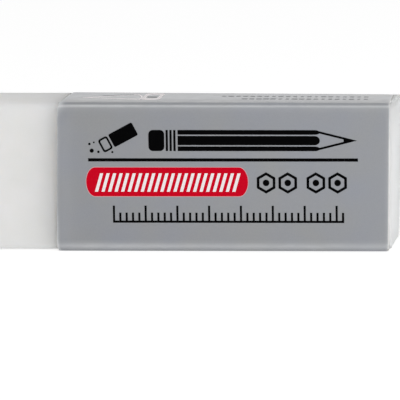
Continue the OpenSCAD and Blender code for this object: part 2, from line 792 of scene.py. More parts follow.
    def relief(self, x: Value, s: Value) -> Value:
        """Works out how far the face stands off its folded path.

        Args:
            x: Place along the block.
            s: Place along the strip.

        Returns:
            The offset, outwards.
        """
        mouth = np.minimum(np.abs(x - self.left), np.abs(self.right - x))
        pressed = sum(fold.relief(s, mouth) for fold in self.folds)
        bottom, top, back = (fold.at for fold in self.folds[1:])
        shares = (np.clip((s - start) / (end - start), 0, 1) for start, end in ((bottom, top), (top, back)))
        bowed = self.panel_bow * sum(np.sin(math.pi * share) ** 2 for share in shares)
        past_top = np.clip((s - top) / self.roll_run, 0, 1)
        rolled = self.fold_roll * (1 - past_top) ** 2 * ease(s - top, self.roll_start, 0)
        on_front = ease(s, bottom, bottom + self.flare_ramp) * (1 - ease(s, top - self.flare_ramp, top))
        flared = self.left_flare * on_front * bell(x - self.left, self.flare_run)
        past_flap = self.length - s - (self.flap_top - self.seam_height)
        sagged = self.back_sag * ease(past_flap, 0, self.sag_ramp) * ease(s, back, back + self.sag_run)
        return pressed + bowed - rolled + flared - sagged

    def settle(self, rows: np.ndarray) -> np.ndarray:
        """Tilts the top panel a little along the block, as the real card stands.

        Args:
            rows: Points in millimetres.

        Returns:
            The moved points.
        """
        moved = rows.copy()
        deep = np.clip((rows[:, 1] - self.front) / (self.back - self.front), 0, 1)
        high = np.clip(rows[:, 2] / self.height, 0, 1)
        front_lift = self.fold_rise - self.fold_drop * self.share(rows[:, 0])
        moved[:, 2] += (self.lift(rows[:, 0]) * deep + front_lift * (1 - deep)) * high**TOP_POWER
        return moved

    def cut(self, x: np.ndarray, s: np.ndarray) -> np.ndarray:
        """Moves the ends of an even strip to where the real cuts run.

        Args:
            x: Place along the block.
            s: Place along the strip.

        Returns:
            The moved place along the block.
        """
        middle = (self.left + self.right) / 2
        inwards = np.clip((x - middle) / (self.right - middle), -1, 1)
        trim = self.flap_trim * np.clip(1 - s / self.flap_run, 0, 1)
        up = np.clip((s - self.folds[1].at) / self.front_run, 0, 1)
        slant = np.clip((s - self.folds[2].at) / self.top_run, 0, 1)
        clip = sum(fold.clip.over(s - fold.at) for fold in self.folds)
        left = clip + self.left_skew * slant + self.set_back(s - self.folds[2].at)
        right = self.right_clip * clip + self.right_skew * slant
        moved = x - trim * inwards + self.cut_lean * (up - self.lean_pivot)
        moved += left * bell(x - self.left, self.left_reach)
        return moved - right * bell(self.right - x, self.right_reach)

    def wear_and_painted_light(self, x: np.ndarray, s: np.ndarray, from_left: np.ndarray) -> tuple[np.ndarray, np.ndarray]:
        """Works out where the coating is paler, from scuffing and from a painted highlight along the front
        bottom fold, and where shade is painted dark along the folds and behind the front fold.

        Args:
            x: Place along the block.
            s: Place along the strip.
            from_left: Distance from the left cut.

        Returns:
            The pale share, from scuffing and painted highlight, and the painted shade share, each from 0 to
            1.
        """
        mouth = np.minimum(from_left, self.right - self.left - from_left)
        beyond = s - self.folds[2].at
        low = 1 - ease(s - self.folds[1].at, *self.low_run)
        corner = self.corner_fold.over(beyond) * self.corner_mouth.over(from_left)
        base, more = self.left_rub
        handled = (base + more * ease(-x, *self.left_rub_run)) * (1 - self.low_rest.over(from_left) * low)
        # Pale marks from scuffing, and the painted highlight along the front bottom fold
        wear_and_highlight = handled * sum(fold.rub_and_highlight.over(s - fold.at) for fold in self.folds) + self.brow_rub.over(beyond)
        wear_and_highlight += self.edge_rub.over(mouth) + self.mouth_rub.over(mouth) + self.seam_rub.over(self.length - s)
        wear_and_highlight += self.corner_rub * corner + self.low_rub.over(from_left) * low
        # Painted shade: a band on the top panel behind the front fold, and a line along each fold
        start, end = self.brow_rise
        near, further = self.brow_reach
        shade = ease(beyond, start, end) * (1 - ease(beyond, end, near + further * ease(x, *self.brow_run)))
        crease_shade = sum(self.fold_shade_line.over(s - fold.at) for fold in self.folds) + self.brow_shade * shade
        return np.clip(wear_and_highlight, 0, 1), np.clip(crease_shade * (1 - corner), 0, 1)

    def blank(self) -> bpy.types.Mesh:
        """Cuts the flat strip, before it is folded.

        Returns:
            A mesh with X along the block and Y along the strip, and with the relief, the scuffing and
            painted highlight, and the painted shade stored on its vertices.
        """
        across = self.across.stations(self.left, self.right, (self.left, self.right))
        along = self.along.stations(0.0, self.length, [fold.at for fold in self.folds])
        even_x, s = (grid.ravel() for grid in np.meshgrid(across, along))
        x = self.cut(even_x, s)
        corner = np.arange(len(x)).reshape(len(along), len(across))
        quads = np.stack([corner[:-1, :-1], corner[:-1, 1:], corner[1:, 1:], corner[1:, :-1]], 2)
        made = mesh_of("card_blank", np.column_stack([x, s, 0 * x]), quads.reshape(-1, 4).tolist())
        wear_and_highlight, crease_shade = self.wear_and_painted_light(x, s, even_x - self.left)
        paint(made, "relief", self.relief(x, s) * MM)
        # Pale marks with the painted highlight, and the painted shade along the folds
        paint(made, "wear_and_highlight", wear_and_highlight)
        paint(made, "crease_shade", crease_shade)
        return made

    def lengths(self) -> dict[str, float]:
        """Lists the section's sizes.

        Returns:
            Each size, under the name of the tree's input.
        """
        return {
            "Front Y": self.front,
            "Back Y": self.back,
            "Flap Y": self.flap_y,
            "Height": self.height,
            "Flap Top": self.flap_top,
            "Seam Height": self.seam_height,
            "Fold Radius": self.fold_radius,
            "Card Thickness": self.card,
        }

    @staticmethod
    def section(graph: Graph, given: Any) -> Socket:
        """Draws the folded section as a curve, from the glue flap round to the back's free edge.

        Args:
            graph: The tree.
            given: The tree's inputs.

        Returns:
            The curve's socket.
        """
        corners = (
            ("Flap Y", "Flap Top"), ("Flap Y", None), ("Front Y", None),
            ("Front Y", "Height"), ("Back Y", "Height"), ("Back Y", "Seam Height"),
        )
        line = graph.add("GeometryNodeMeshLine", {"Count": len(corners)}).outputs[0]
        index = graph.add("GeometryNodeInputIndex").outputs[0]
        chooser = graph.add("GeometryNodeIndexSwitch", {"Index": index}, data_type="VECTOR")
        while len(chooser.index_switch_items) < len(corners):
            chooser.index_switch_items.new()
        for number, (depth, height) in enumerate(corners):
            where = {"Y": given[depth]} | ({"Z": given[height]} if height else {})
            graph.feed(chooser, {number + 1: graph.add("ShaderNodeCombineXYZ", where).outputs[0]})
        moving = {"Geometry": line, "Position": chooser.outputs[0]}
        line = graph.add("GeometryNodeSetPosition", moving).outputs[0]
        path = graph.add("GeometryNodeMeshToCurve", {"Mesh": line}).outputs[0]
        rounding = {"Curve": path, "Count": given["Fold Steps"], "Radius": given["Fold Radius"]}
        return graph.add("GeometryNodeFilletCurve", rounding, mode="POLY").outputs[0]

    def recipe(self) -> GeometryRecipe:
        """Builds the tree that folds a flat strip round its section and gives it its thickness.

        Returns:
            The recipe, with the section's sizes as named inputs.
        """
        inputs = {label: "Float" for label in self.lengths()} | {"Fold Steps": "Int"}
        inputs |= {label: "Material" for label in ("Coat", "Core", "Cut Edge")}
        made = GeometryRecipe("fold_strip", inputs)
        graph, given = made.graph, made.given
        flat = graph.split(graph.add("GeometryNodeInputPosition").outputs[0])
        reading = {"Curves": self.section(graph, given), "Length": flat["Y"]}
        at = graph.add("GeometryNodeSampleCurve", reading, mode="LENGTH").outputs
        spot, way = graph.split(at["Position"]), graph.split(at["Tangent"])
        stored = graph.add("GeometryNodeInputNamedAttribute", {"Name": "relief"}, data_type="FLOAT")
        relief = stored.outputs[0]
        off_y = graph.calc("MULTIPLY", graph.calc("MULTIPLY", way["Z"], -1.0), relief)
        off_z = graph.calc("MULTIPLY", way["Y"], relief)
        folded = graph.add("ShaderNodeCombineXYZ", {
            "X": flat["X"],
            "Y": graph.calc("ADD", spot["Y"], off_y),
            "Z": graph.calc("ADD", spot["Z"], off_z),
        }).outputs[0]
        moving = {"Geometry": given["Geometry"], "Position": folded}
        outside = graph.add("GeometryNodeSetPosition", moving).outputs[0]
        inwards = graph.calc("MULTIPLY", given["Card Thickness"], -1.0)
        pushing = {"Mesh": outside, "Offset Scale": inwards, "Individual": False}
        wall = graph.add("GeometryNodeExtrudeMesh", pushing, mode="FACES").outputs
        inside = graph.add("GeometryNodeFlipFaces", {"Mesh": wall["Mesh"]}).outputs[0]
        shell = graph.add("GeometryNodeJoinGeometry")
        for sheet in (inside, outside):
            graph.feed(shell, {0: sheet})
        joining = {"Geometry": shell.outputs[0], "Distance": self.weld * MM}
        welded = graph.add("GeometryNodeMergeByDistance", joining).outputs[0]
        made.close(welded, {"Coat": True, "Core": wall["Top"], "Cut Edge": wall["Side"]})
        return made

    def build(self) -> bpy.types.Object:
        """Folds the strip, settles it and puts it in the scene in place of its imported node.

        Returns:
            The sleeve's object.
        """
        values: dict[str, Any] = {label: size * MM for label, size in self.lengths().items()}
        values |= {"Fold Steps": self.fold_steps, "Coat": CoatedCard().material()}
        values |= {"Core": BareCard().material(), "Cut Edge": CutCard().material()}
        mesh = self.recipe().run(self.blank(), values)
        put(mesh, self.settle(places(mesh)))
        made = piece("sleeve_card", mesh, Body.SLEEVE)
        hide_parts("card_sleeve")
        return made


# Vinyl block


@dataclass
class VinylBlock:
    """The eraser itself: a drawn bar of soft vinyl, cut to length."""

    left: float
    right: float
    front: float
    back: float
    bottom: float
    top: float
    long_edge: float = 0.8
    long_edge_points: int = 9
    end_edge: float = 0.3
    end_edge_rings: int = 7
    end_hollow: float = 0.06
    cap_rings: int = 12
    section_spacing: Spacing = Spacing(0.2, 1.1, 2.0)
    ring_spacing: Spacing = Spacing(0.09, 1.6, 4.0)
    near_mouths: Point = (0.5, -0.5)
    end_slant: float = 0.15
    end_skew: float = 0.72
    skew_run: float = 4.0
    left_swell: float = 0.28
    right_swell: float = 0.34
    swell_start: float = -0.12
    swell_run: float = 0.24
    right_lead: float = 0.05
    top_gap: float = 0.03
    corner_lift: float = 0.35
    corner_run: float = 3.0
    corner_powers: tuple[int, int] = (6, 8)
    # Painted shade: a dark line along the left cut, a halo on the top there, and a darker top rim on the
    # right end
    top_turn: Point = (0.96, 0.99)
    front_turn: Point = (0.02, 0.12)
    mouth_shade: Point = (0.235, 1.1)
    shade_fade: Point = (0.2, 0.9)
    shade_offset: float = -0.1
    shade_width: Point = (0.2, 0.08)
    shade_halo: Hump = Hump(0.1, 0.0, 1.1)
    rim_shade: float = 0.85
    rim_front: float = 0.2
    rim_height: Point = (0.974, 0.988)
    rim_run: Point = (-0.9, -0.3)

    @classmethod
    def from_frame(cls) -> "VinylBlock":
        """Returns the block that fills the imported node's box."""
        low, high = (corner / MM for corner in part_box("rubber_block"))
        return cls(left=low.x, right=high.x, front=low.y, back=high.y, bottom=low.z, top=high.z)

    @property
    def middle(self) -> np.ndarray:
        """Returns the middle of the section, as (y, z)."""
        return np.array([(self.front + self.back) / 2, (self.bottom + self.top) / 2])

    def section(self, inset: float) -> np.ndarray:
        """Draws the bar's section.

        Args:
            inset: How far the outline is drawn in.

        Returns:
            Points (y, z) anticlockwise as seen from the right end.
        """
        r = self.long_edge
        y0, y1 = self.front + r, self.back - r
        z0, z1 = self.bottom + r, self.top - r
        corners = ((y1, z0, -90.0), (y1, z1, 0.0), (y0, z1, 90.0), (y0, z0, 180.0))
        outline: list[Point] = []
        for (y, z, start), (next_y, next_z, _) in zip(corners, corners[1:] + corners[:1]):
            for turn in np.radians(start + np.linspace(0, 90, self.long_edge_points)):
                outline.append((y + (r - inset) * math.cos(turn), z + (r - inset) * math.sin(turn)))
            run = math.hypot(next_y - y, next_z - z)
            edge, way = np.array(outline[-1]), np.array([next_y - y, next_z - z]) / run
            between = self.section_spacing.stations(0.0, run, (0.0, run))[1:-1]
            outline += [tuple(edge + way * far) for far in between]
        return np.array(outline)

    def stations(self, mouths: Sequence[float]) -> list[Point]:
        """Places the rings that the bar is lofted through.

        Args:
            mouths: Places by the sleeve's mouths, near which the rings lie closer.

        Returns:
            Each ring's place along the bar and its inset, from left to right.
        """
        e = self.end_edge
        turns = np.radians(np.linspace(0, 90, self.end_edge_rings))
        rim = [(self.left + e * (1 - math.cos(t)), e * (1 - math.sin(t))) for t in turns]
        centres = [self.left, *mouths, self.right]
        run = self.ring_spacing.stations(self.left + e, self.right - e, centres)[1:-1]
        far = [(self.left + self.right - x, inset) for x, inset in reversed(rim)]
        return rim + [(x, 0.0) for x in run] + far

    def cap(self, ring: np.ndarray, outwards: float) -> list[np.ndarray]:
        """Draws the rings of a cut end, from its rim to its centre.

        Args:
            ring: The rim.
            outwards: -1 for the left end and 1 for the right one.

        Returns:
            The rings, each a little hollow.
        """
        made = []
        for share in np.linspace(1, 0, self.cap_rings + 1)[1:-1]:
            inner = ring.copy()
            inner[:, 1:] = self.middle + (ring[:, 1:] - self.middle) * share
            inner[:, 0] -= outwards * self.end_hollow * (1 - share**2)
            made.append(inner)
        return made

    def loft(self, mouths: Sequence[float]) -> tuple[np.ndarray, list[tuple[int, ...]], np.ndarray]:
        """Lofts the plain bar and closes its ends.

        Args:
            mouths: Places by the sleeve's mouths.

        Returns:
            Points, faces, and a number for each point that is 1 on the cut ends.
        """
        rings = []
        for x, inset in self.stations(mouths):
            section = self.section(inset)
            rings.append(np.column_stack([np.full(len(section), x), section]))
        left_cap, right_cap = self.cap(rings[0], -1.0), self.cap(rings[-1], 1.0)
        loops = left_cap[::-1] + rings + right_cap
        hubs = [[self.left + self.end_hollow, *self.middle], [self.right - self.end_hollow, *self.middle]]
        points = np.concatenate([*loops, hubs])
        size = len(rings[0])
        hub = len(loops) * size
        last = hub - size
        around = [(i, (i + 1) % size) for i in range(size)]
        faces = [(a + size + i, a + size + j, a + j, a + i) for a in range(0, last, size) for i, j in around]
        faces += [(i, j, hub) for i, j in around]
        faces += [(last + j, last + i, hub + 1) for i, j in around]
        cut = np.zeros(len(points))
        cut[: len(left_cap) * size] = 1
        cut[(len(left_cap) + len(rings)) * size:] = 1
        return points, faces, cut

    def press(self, points: np.ndarray, deep: np.ndarray, high: np.ndarray, sleeve: CardSleeve) -> np.ndarray:
        """Skews the right cut, fits the top to the tilted card, and lets it swell beside the mouths.

        Args:
            points: The plain bar's points.
            deep: Share of the depth at each point, from the front (0) to the back (1).
            high: Share of the height at each point.
            sleeve: The sleeve that the soft block follows.

        Returns:
            The moved points.
        """
        x, y, z = points.T.copy()
        x += (self.end_slant + self.end_skew * high) * deep * ease(x, self.right - self.skew_run, self.right)
        left_cut, right_cut = sleeve.top_cuts(deep)
        ramp = (self.swell_start, self.swell_start + self.swell_run)
        free = self.left_swell * ease(left_cut - x, *ramp)
        free += self.right_swell * ease(x - right_cut + self.right_lead, *ramp)
        z += (sleeve.lift(x) - self.top_gap + free) * deep * high**TOP_POWER
        forwards, upwards = self.corner_powers
        raised = self.corner_lift * (1 - (1 - deep) ** forwards)
        z += raised * (1 - high) ** upwards * ease(x, self.right - self.corner_run, self.right)
        return np.column_stack([x, y, z])

    def painted_shade_strength(self, x: np.ndarray, deep: np.ndarray, high: np.ndarray, sleeve: CardSleeve) -> np.ndarray:
        """Works out where shade is painted: a dark line by the left mouth and a darker top rim on the right
        end.

        Args:
            x: Place along the block.
            deep: Share of the depth.
            high: Share of the height.
            sleeve: The sleeve, whose left cut the painted shade lies along.

        Returns:
            The strength of the painted shade.
        """
        on_top = ease(high, *self.top_turn) * ease(deep, *self.front_turn)
        apart = x - sleeve.left_cut(high, deep) - self.shade_offset
        side, top = self.mouth_shade
        strength = side * (1 - ease(high, *self.shade_fade)) + top * on_top
        width, wider = self.shade_width
        # Painted shade along the left cut, wider and with a halo on the top
        painted_shade = strength * bell(apart, width + wider * on_top) + on_top * self.shade_halo.over(apart)
        # Painted shade on the right end's top rim, stronger towards the back
        start, end = (self.right + far for far in self.rim_run)
        rim = ease(high, *self.rim_height) * ease(x, start, end)
        return painted_shade + self.rim_shade * rim * (self.rim_front + (1 - self.rim_front) * deep)

    def build(self, sleeve: CardSleeve) -> bpy.types.Object:
        """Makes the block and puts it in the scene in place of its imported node.

        Args:
            sleeve: The sleeve, whose top panel the soft block follows.

        Returns:
            The block's object.
        """
        near_left, near_right = self.near_mouths
        points, faces, cut = self.loft((sleeve.left + near_left, sleeve.right + near_right))
        deep = np.clip((points[:, 1] - self.front) / (self.back - self.front), 0, 1)
        high = np.clip((points[:, 2] - self.bottom) / (self.top - self.bottom), 0, 1)
        points = self.press(points, deep, high, sleeve)
        mesh = mesh_of("vinyl_block", points, faces)
        paint(mesh, "cut_end", cut)
        # Painted shade, stored on the vertices
        paint(mesh, "painted_shade", self.painted_shade_strength(points[:, 0], deep, high, sleeve))
        mesh.materials.append(SoftVinyl().material())
        made = piece("vinyl_block", mesh, Body.BLOCK, crease_deg=60.0)
        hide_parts("rubber_block")
        return made


# Print


@dataclass(frozen=True)
class InkLayer:
    """How deep an ink is set into what it lies on, and how far it stands proud."""

    sunk: float
    proud: float


FIRST_INK = InkLayer(0.03, 0.014)
SECOND_INK = InkLayer(-0.004, 0.022)


def prism(outline: Sequence[Point], layer: InkLayer = FIRST_INK) -> Shape:
    """Makes a closed slab of ink.

    Args:
        outline: Its edge, anticlockwise.
        layer: Its depth and height.

    Returns:
        Points and faces.
    """
    n = len(outline)
    rows = [(a, b, h) for h in (-layer.sunk, layer.proud) for a, b in outline]
    faces = [tuple(range(n))[::-1], tuple(range(n, 2 * n))]
    faces += [(i, (i + 1) % n, n + (i + 1) % n, n + i) for i in range(n)]
    return np.array(rows), faces


def band(outer: Sequence[Point], inner: Sequence[Point], layer: InkLayer = FIRST_INK) -> Shape:
    """Makes a closed ring of ink between two outlines with as many points.

    Args:
        outer: The outer edge, anticlockwise.
        inner: The inner edge, anticlockwise.
        layer: Its depth and height.

    Returns:
        Points and faces.
    """
    n = len(outer)
    rows = [(a, b, h) for h in (-layer.sunk, layer.proud) for edge in (outer, inner) for a, b in edge]
    faces: list[tuple[int, ...]] = []
    for i in range(n):
        j = (i + 1) % n
        faces += [
            (2 * n + i, 2 * n + j, 3 * n + j, 3 * n + i),
            (i, n + i, n + j, j),
            (i, j, 2 * n + j, 2 * n + i),
            (n + i, 3 * n + i, 3 * n + j, n + j),
        ]
    return np.array(rows), faces


def joined(parts: Sequence[Shape]) -> Shape:
    """Puts several shapes into one.

    Args:
        parts: The shapes.

    Returns:
        Points and faces.
    """
    points, faces, count = [], [], 0
    for rows, sides in parts:
        points.append(rows)
        faces += [tuple(i + count for i in side) for side in sides]
        count += len(rows)
    return np.concatenate(points), faces


def arc(centre: Point, radii: Point, start: float, end: float, steps: int) -> list[Point]:
    """Draws part of an ellipse.

    Args:
        centre: Its centre.
        radii: Half its width and half its height.
        start: First angle, in degrees.
        end: Last angle.
        steps: Number of chords.

    Returns:
        The points, both ends included.
    """
    turns = np.radians(np.linspace(start, end, steps + 1))
    return [(centre[0] + radii[0] * math.cos(t), centre[1] + radii[1] * math.sin(t)) for t in turns]


def oval_bar(box: Box, end: float, steps: int = 24) -> list[Point]:
    """Draws a bar whose two ends are half ellipses.

    Args:
        box: Left and right ends, lower and upper edges.
        end: Length of each rounded end.
        steps: Number of chords in each end.

    Returns:
        The outline, anticlockwise.
    """
    x0, x1, y0, y1 = box
    mid, radii = (y0 + y1) / 2, (end, (y1 - y0) / 2)
    return arc((x1 - end, mid), radii, -90, 90, steps) + arc((x0 + end, mid), radii, 90, 270, steps)


def rounded_box(box: Box, r: float, steps: int = 6) -> list[Point]:
    """Draws a box with rounded corners.

    Args:
        box: Left and right edges, lower and upper edges.
        r: Radius of the corners.
        steps: Number of chords in each corner.

    Returns:
        The outline, anticlockwise.
    """
    x0, x1, y0, y1 = box[0] + r, box[1] - r, box[2] + r, box[3] - r
    corners = (((x1, y0), -90), ((x1, y1), 0), ((x0, y1), 90), ((x0, y0), 180))
    return [point for centre, start in corners for point in arc(centre, (r, r), start, start + 90, steps)]


def polygon(centre: Point, radius: float, sides: int, start: float = 0.0) -> list[Point]:
    """Draws a regular polygon, anticlockwise, with its first corner at the start angle."""
    return arc(centre, (radius, radius), start, start + 360, sides)[:-1]


def placed(outline: Sequence[Point], centre: Point, degrees: float = 0.0) -> list[Point]:
    """Turns an outline about its local origin and moves it to a centre."""
    c, s = math.cos(math.radians(degrees)), math.sin(math.radians(degrees))
    return [(centre[0] + c * a - s * b, centre[1] + s * a + c * b) for a, b in outline]


@dataclass
class MarkRow:
    """A row of one repeated mark: how many, how far apart, and the rule for their size."""

    count: int
    pitch: float
    start: Point
    group: int = NEVER
    group_gap: float = 0.0
    tall_every: int = NEVER
    tall: float = 1.0
    spread: float = 0.0
    seed: int = 1


class RowRecipe:
    """The tree that repeats a mark along a row."""

    def __init__(self) -> None:
        """Builds the tree once, for every row."""
        inputs = {"Count": "Int", "Pitch": "Float", "Start": "Vector", "Group": "Int", "Group Gap": "Float"}
        inputs |= {"Tall Every": "Int", "Tall": "Float", "Spread": "Float", "Seed": "Int", "Ink": "Material"}
        self.recipe = GeometryRecipe("mark_row", inputs)
        graph, given = self.recipe.graph, self.recipe.given
        calc = graph.calc
        index = graph.add("GeometryNodeInputIndex").outputs[0]
        gaps = calc("MULTIPLY", calc("FLOOR", calc("DIVIDE", index, given["Group"])), given["Group Gap"])
        along = calc("MULTIPLY_ADD", index, given["Pitch"], gaps)
        offset = graph.add("ShaderNodeCombineXYZ", {"X": along}).outputs[0]
        spot = graph.add("ShaderNodeVectorMath", {0: offset, 1: given["Start"]}, operation="ADD").outputs[0]
        line = graph.add("GeometryNodeMeshLine", {"Count": given["Count"]}).outputs[0]
        line = graph.add("GeometryNodeSetPosition", {"Geometry": line, "Position": spot}).outputs[0]
        is_tall = calc("LESS_THAN", calc("MODULO", index, given["Tall Every"]), 0.5)
        taller = calc("MULTIPLY", is_tall, calc("SUBTRACT", given["Tall"], 1.0))
        chance = graph.add("FunctionNodeRandomValue", {"Seed": given["Seed"]}, data_type="FLOAT").outputs[1]
        wider = calc("MULTIPLY", calc("SUBTRACT", chance, 0.5), given["Spread"])
        sizes = {"X": calc("ADD", wider, 1.0), "Y": calc("ADD", taller, 1.0), "Z": 1.0}
        scale = graph.add("ShaderNodeCombineXYZ", sizes).outputs[0]
        marks = {"Points": line, "Instance": given["Geometry"], "Scale": scale}
        self.recipe.close(graph.add("GeometryNodeInstanceOnPoints", marks).outputs[0], {"Ink": True})

    def run(self, mark: bpy.types.Mesh, row: MarkRow, ink: bpy.types.Material) -> bpy.types.Mesh:
        """Repeats a mark.

        Args:
            mark: The mark, at its own origin.
            row: The row's rule.
            ink: The ink.

        Returns:
            The row as a plain mesh.
        """
        return self.recipe.run(mark, {
            "Count": row.count,
            "Pitch": row.pitch * MM,
            "Start": (row.start[0] * MM, row.start[1] * MM, 0.0),
            "Group": row.group,
            "Group Gap": row.group_gap * MM,
            "Tall Every": row.tall_every,
            "Tall": row.tall,
            "Spread": row.spread,
            "Seed": row.seed,
            "Ink": ink,
        })


@dataclass
class SleevePrint:
    """The print on the sleeve: a stripe, a red field and plain ornaments, as thin layers of ink."""

    sleeve: CardSleeve
    stripe: Box = (-14.94, 27.42, 14.21, 14.71)
    stripe_points: int = 42
    field_box: Box = (-15.3, 10.17, 8.72, 13.28)
    field_end: float = 1.44
    field_rim: float = 0.09
    pencil_box: Box = (-5.4, 27.3, 15.85, 19.15)
    block_at: Point = (-10.3, 17.9)
    block_tilt: float = 28.0
    ticks_at: Point = (-11.0, 4.55)
    point_at: Point = (-16.8, 5.6)
    point_tilt: float = 8.5
    end_at: Point = (-5.5, 7.7)

    def __post_init__(self) -> None:
        """Mixes the inks and builds the tree for rows of marks."""
        self.inks = {ink: ink.material() for ink in (BLACK_INK, RED_INK, WHITE_INK, PINK_INK, FAINT_INK)}
        self.rows = RowRecipe()

    def lay(self, name: str, mesh: bpy.types.Mesh, panel: Panel) -> None:
        """Lays a flat mesh of ink on a panel and follows its relief.

        Args:
            name: Name of the piece.
            mesh: Ink with its place on the panel in X and Y, and its thickness in Z.
            panel: The panel.
        """
        sleeve = self.sleeve
        a, b, c = places(mesh).T
        if panel is Panel.FRONT:
            rows = [a, sleeve.front - c - sleeve.relief(a, sleeve.front_s(b)), b]
        else:
            rows = [a, sleeve.front + b, sleeve.height + c + sleeve.relief(a, sleeve.top_s(b))]
        put(mesh, sleeve.settle(np.column_stack(rows)))
        piece(name, mesh, Body.SLEEVE)

    def shape(self, name: str, parts: Sequence[Shape], ink: PrintInk, panel: Panel = Panel.FRONT) -> None:
        """Joins some shapes of one ink and lays them on a panel.

        Args:
            name: Name of the piece.
            parts: The shapes.
            ink: Their ink.
            panel: The panel.
        """
        mesh = mesh_of(name, *joined(parts))
        mesh.materials.append(self.inks[ink])
        self.lay(name, mesh, panel)

    def row(self, name: str, mark: Shape, rule: MarkRow, ink: PrintInk, panel: Panel = Panel.FRONT) -> None:
        """Repeats a mark along a row and lays the row on a panel."""
        self.lay(name, self.rows.run(mesh_of(name, *mark), rule, self.inks[ink]), panel)

    def fields(self) -> None:
        """Prints the black stripe, and the red field with its thin pale rim."""
        x0, x1, z0, z1 = self.stripe
        run = np.linspace(x0, x1, self.stripe_points)
        line = [(x, z0) for x in run] + [(x, z1) for x in run[::-1]]
        self.shape("print_stripe", [prism(line)], BLACK_INK)
        x0, x1, z0, z1 = self.field_box
        rim = self.field_rim
        edge = oval_bar(self.field_box, self.field_end)
        around = oval_bar((x0 - rim, x1 + rim, z0 - rim, z1 + rim), self.field_end + rim)
        self.shape("print_field", [prism(edge)], RED_INK)
        self.shape("print_field_rim", [band(around, edge)], PINK_INK)

    def hatching(self) -> None:
        """Prints a row of slanted white strokes on the red field, like pencil shading."""
        height, width, lean = 2.9, 0.5, 0.85
        stroke = [(0, 0), (width, 0), (width + lean, height), (lean, height)]
        rule = MarkRow(count=22, pitch=1.03, start=(-13.95, 9.45))
        self.row("print_hatching", prism(stroke, SECOND_INK), rule, WHITE_INK)

    def pencil(self) -> None:
        """Prints a plain pencil, seen from the side, above the stripe."""
        x0, x1, z0, z1 = self.pencil_box
        mid, gap, line, facets = (z0 + z1) / 2, 0.2, 0.34, (0.25, 0.5, 0.25)
        cap_run, cap_r, ring_run, ring_pitch, ring_wide, ring_r = 2.5, 0.7, 2.72, 0.6, 0.36, 0.05
        body_x, cone_x, slope_x, lead_x = x0 + 4.6, x1 - 6.6, x1 - 6.0, x1 - 2.1
        nose_run, nose_steps = 0.8, 8
        parts = [prism(rounded_box((x0, x0 + cap_run, z0, z1), cap_r))]
        for left in (x0 + ring_run + ring_pitch * n for n in range(3)):
            parts.append(prism(rounded_box((left, left + ring_wide, z0, z1), ring_r)))
        low = z0
        for share in facets:
            high = low + (z1 - z0 - 2 * gap) * share
            nose = arc((cone_x, (low + high) / 2), (nose_run, (high - low) / 2), -90, 90, nose_steps)
            parts.append(prism([(body_x, low), *nose, (body_x, high)]))
            low = high + gap
        slope = (z1 - mid) / (x1 - cone_x)
        for side in (-1, 1):
            run = [(x, mid + side * (x1 - x) * slope) for x in (slope_x, lead_x)]
            outline = run + [(x, z - side * line) for x, z in reversed(run)]
            parts.append(prism(outline if side < 0 else outline[::-1]))
        tip = (x1 - lead_x) * slope
        parts.append(prism([(lead_x, mid - tip), (x1, mid), (lead_x, mid + tip)]))
        self.shape("print_pencil", parts, BLACK_INK)

    def block_mark(self) -> None:
        """Prints a small tilted block in a band, with the crumbs that it leaves."""
        half, line, crumb_sides = 1.12, 0.3, 12
        wrapped_r, outer_r, inner_r = 0.25, 0.4, 0.18
        (left, right), (far, near) = (-1.05, 3.15), (-2.95, -1.3)
        wrapped = rounded_box((left, right, -half, half), wrapped_r)
        end_outer = rounded_box((far, near, -half, half), outer_r)
        end_inner = rounded_box((far + line, near - line, line - half, half - line), inner_r)
        wrapped, end_outer, end_inner = (
            placed(edge, self.block_at, self.block_tilt) for edge in (wrapped, end_outer, end_inner)
        )
        crumbs = (
            (-14.35, 15.9, 0.33), (-13.3, 15.72, 0.2), (-14.7, 16.95, 0.2),
            (-11.1, 15.68, 0.17), (-14.0, 17.2, 0.14),
        )
        parts = [prism(wrapped), band(end_outer, end_inner)]
        parts += [prism(polygon((x, z), r, crumb_sides)) for x, z, r in crumbs]
        self.shape("print_block_mark", parts, BLACK_INK)

    def hexagons(self) -> None:
        """Prints four pencil ends in two pairs, right of the red field."""
        centre, wood_r, hole_r, lead_r = (0, 0), 1.68, 1.2, 0.52
        wood_sides, wood_turn, lead_sides = 6, 30, 16
        wood = band(*(polygon(centre, radius, wood_sides, wood_turn) for radius in (wood_r, hole_r)))
        mark = joined([wood, prism(polygon(centre, lead_r, lead_sides))])
        rule = MarkRow(count=4, pitch=3.4, start=(13.0, 10.85), group=2, group_gap=1.0)
        self.row("print_pencil_ends", mark, rule, BLACK_INK)

    def ticks(self) -> None:
        """Prints a short plain scale of ticks below the red field."""
        (first, base), half, count, pitch = self.ticks_at, 0.17, 37, 1.0
        short, tall, line, overlap = 1.3, 1.85, 0.34, 0.04
        tick = [(-half, 0), (half, 0), (half, short), (-half, short)]
        rule = MarkRow(count, pitch, (first, base + line - overlap), tall_every=5, tall=tall)
        self.row("print_ticks", prism(tick), rule, BLACK_INK)
        run = np.linspace(first - half, first + (count - 1) * pitch + half, count)
        edge = [(x, base) for x in run] + [(x, base + line) for x in run[::-1]]
        self.shape("print_tick_line", [prism(edge)], BLACK_INK)

